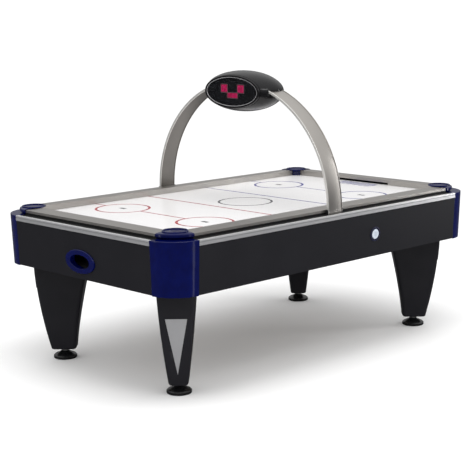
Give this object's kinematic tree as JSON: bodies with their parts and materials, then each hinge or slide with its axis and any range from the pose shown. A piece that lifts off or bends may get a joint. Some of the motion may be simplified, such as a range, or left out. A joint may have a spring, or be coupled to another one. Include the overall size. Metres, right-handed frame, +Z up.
{
  "type": "air hockey table",
  "caption": "Full-size air hockey table with aluminium rails, rounded corners, curved legs and a scoreboard on an arch.",
  "frame": {"origin": "on the floor, under the middle of the table", "axes": "+X from the red end to the blue end, +Y from the front side with the start button to the back, +Z up"},
  "size_m": [2.2952, 1.39, 1.5],
  "materials": {
    "black_laminate": "satin black laminate",
    "blue_gloss": "high gloss deep blue",
    "ribbed_aluminium": "bright ribbed extrusion",
    "black_ledge": "black laminate",
    "white_playfield": "glossy white laminate with printed lines",
    "satin_aluminium": "satin anodised",
    "brushed_inlay": "brushed",
    "zinc_steel": "zinc plated",
    "black_foot": "matt black",
    "plywood": "plain plywood",
    "black_sheet": "black powder coat",
    "black_bezel": "dark gloss",
    "white_button": "translucent white",
    "grey_plastic": "grey",
    "inlet_plastic": "black",
    "blower_metal": "grey paint",
    "motor_metal": "dark grey paint",
    "shaft_steel": "ground",
    "impeller_plastic": "black",
    "arch_aluminium": "satin champagne",
    "black_gloss": "piano black",
    "smoked_window": "smoked acrylic",
    "led_board": "black board with number blocks",
    "black_leg": "satin black lacquer"
  },
  "bodies": {
    "table": {"air_box": "plywood", "arch": "arch_aluminium", "arch_sockets": "black_sheet", "back_panel": "black_laminate", "blower_housing": "blower_metal", "blower_motor": "motor_metal", "button_bezel": "black_bezel", "control_box": "grey_plastic", "corner_blocks": "plywood", "corner_cap_back_blue": "blue_gloss", "corner_cap_back_red": "blue_gloss", "corner_cap_front_blue": "blue_gloss", "corner_cap_front_red": "blue_gloss", "corner_post_back_blue": "blue_gloss", "corner_post_back_red": "blue_gloss", "corner_post_front_blue": "blue_gloss", "corner_post_front_red": "blue_gloss", "cross_members": "plywood", "end_panel_blue": "black_laminate", "end_panel_red": "black_laminate", "end_rail_blue": "satin_aluminium", "end_rail_red": "satin_aluminium", "end_trim_blue": "ribbed_aluminium", "end_trim_red": "ribbed_aluminium", "face_bezel_blue": "black_gloss", "face_bezel_red": "black_gloss", "face_window_blue": "smoked_window", "face_window_red": "smoked_window", "front_panel": "black_laminate", "goal_chute_blue": "black_sheet", "goal_chute_red": "black_sheet", "led_display_blue": "led_board", "led_display_red": "led_board", "ledge_boards": "black_ledge", "leg_back_blue": "black_leg", "leg_back_red": "black_leg", "leg_bolts": "zinc_steel", "leg_front_blue": "black_leg", "leg_front_red": "black_leg", "leg_inlay_back_blue": "brushed_inlay", "leg_inlay_back_red": "brushed_inlay", "leg_inlay_front_blue": "brushed_inlay", "leg_inlay_front_red": "brushed_inlay", "playfield": "white_playfield", "power_inlet": "inlet_plastic", "return_bezel_blue": "blue_gloss", "return_bezel_red": "blue_gloss", "scoreboard_shell_lower": "black_gloss", "scoreboard_shell_upper": "black_gloss", "side_rail_back": "satin_aluminium", "side_rail_front": "satin_aluminium", "side_trim_back": "ribbed_aluminium", "side_trim_front": "ribbed_aluminium"},
    "button": {"start_button": "white_button"},
    "fan": {"blower_shaft": "shaft_steel", "blower_impeller": "impeller_plastic"},
    "foot_back_blue": {"levelling_foot_back_blue": "black_foot"},
    "foot_back_red": {"levelling_foot_back_red": "black_foot"},
    "foot_front_blue": {"levelling_foot_front_blue": "black_foot"},
    "foot_front_red": {"levelling_foot_front_red": "black_foot"}
  },
  "joints": [
    {"name": "start_button_press", "type": "slide", "parent": "table", "child": "button", "axis": [0, 0.9993, 0.0384], "range_m": [0, 0.004], "stiffness_N_per_m": 400, "springref_m": -0.003},
    {"name": "blower_spin", "type": "hinge", "parent": "table", "child": "fan", "pos_m": [0, 0, 0.616], "axis": [0, 1, 0], "continuous": true},
    {"name": "foot_level_back_blue", "type": "slide", "parent": "table", "child": "foot_back_blue", "axis": [0, 0, -1], "range_m": [0, 0.02]},
    {"name": "foot_level_back_red", "type": "slide", "parent": "table", "child": "foot_back_red", "axis": [0, 0, -1], "range_m": [0, 0.02]},
    {"name": "foot_level_front_blue", "type": "slide", "parent": "table", "child": "foot_front_blue", "axis": [0, 0, -1], "range_m": [0, 0.02]},
    {"name": "foot_level_front_red", "type": "slide", "parent": "table", "child": "foot_front_red", "axis": [0, 0, -1], "range_m": [0, 0.02]}
  ]
}
